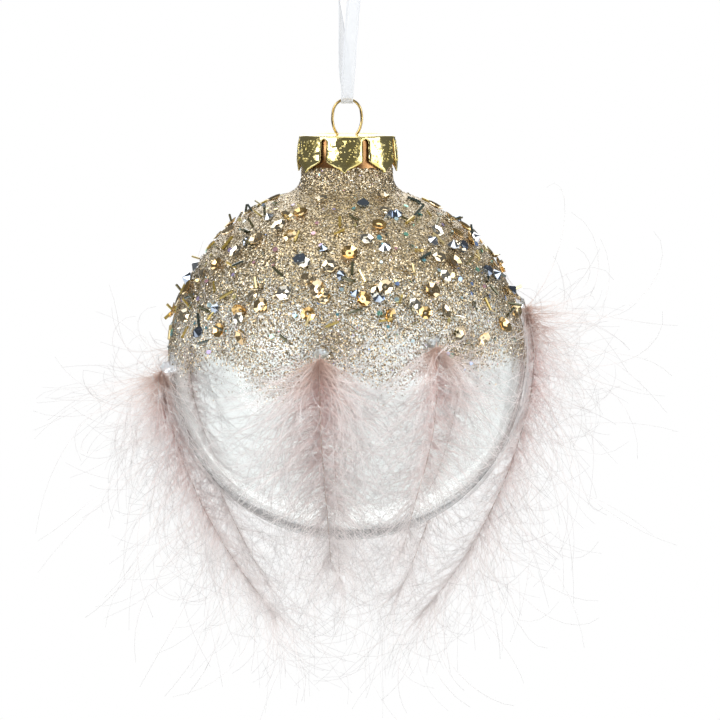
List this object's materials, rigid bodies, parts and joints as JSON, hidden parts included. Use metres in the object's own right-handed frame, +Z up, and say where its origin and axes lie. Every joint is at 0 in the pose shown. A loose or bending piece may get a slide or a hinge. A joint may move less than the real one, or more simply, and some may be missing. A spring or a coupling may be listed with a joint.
{
  "type": "glass ball ornament",
  "caption": "Clear glass hanging ball with a glitter and sequin coat, hanging feathers, a crown cap and a ribbon loop.",
  "frame": {"origin": "inside top of the ribbon loop, where a hook or twig holds the ornament", "axes": "+Z up along the hanging line, -Y towards the front of the ornament, +X to its right seen from the front"},
  "size_m": [0.1183, 0.1037, 0.1618],
  "materials": {
    "organza": "translucent white organza",
    "gold_wire": "polished",
    "gold_cap": "bright gold, stamped pattern",
    "clear_glass": "clear",
    "champagne_glitter": "champagne gold glitter in clear glue",
    "gold_sequin": "metallic gold",
    "pale_gold_sequin": "metallic pale gold",
    "clear_stone": "faceted, clear with a silvered back",
    "gold_bead": "gold lined",
    "olive_bead": "dark olive, glossy",
    "iridescent_film": "iridescent, turns from teal to pink",
    "clear_glue": "clear, bluish",
    "quill": "horny, pale brown to pink",
    "marabou": "downy, pale pink"
  },
  "bodies": {
    "ribbon": {"ribbon_loop": "organza", "ribbon_knot": "organza"},
    "hanger": {"hanger_ring": "gold_wire", "spring_legs": "gold_wire"},
    "cap": {"cap": "gold_cap"},
    "ball": {"glass_ball": "clear_glass", "glitter_coat": "champagne_glitter", "cup_sequins": "gold_sequin", "hex_sequins": "pale_gold_sequin", "pointed_stones": "clear_stone", "gold_beads": "gold_bead", "olive_beads": "olive_bead", "iridescent_flakes": "iridescent_film", "glue_dabs": "clear_glue", "quill_front": "quill", "quill_front_right": "quill", "quill_right": "quill", "quill_back_right": "quill", "quill_back": "quill", "quill_back_left": "quill", "quill_left": "quill", "plume_front": "marabou", "plume_front_right": "marabou", "plume_right": "marabou", "plume_back_right": "marabou", "plume_back": "marabou", "plume_back_left": "marabou", "plume_left": "marabou"}
  },
  "joints": [
    {"name": "ring_swing", "type": "hinge", "parent": "ribbon", "child": "hanger", "pos_m": [0, 0, -0.031], "axis": [1, 0, 0], "range_deg": [-75, 75]},
    {"name": "wire_slide", "type": "slide", "parent": "hanger", "child": "cap", "axis": [0, 0, -1], "range_m": [0, 0.0025], "deforming": ["spring_legs"]},
    {"name": "cap_pull", "type": "slide", "parent": "cap", "child": "ball", "axis": [0, 0, -1], "range_m": [0, 0.03], "deforming": ["spring_legs"]}
  ]
}
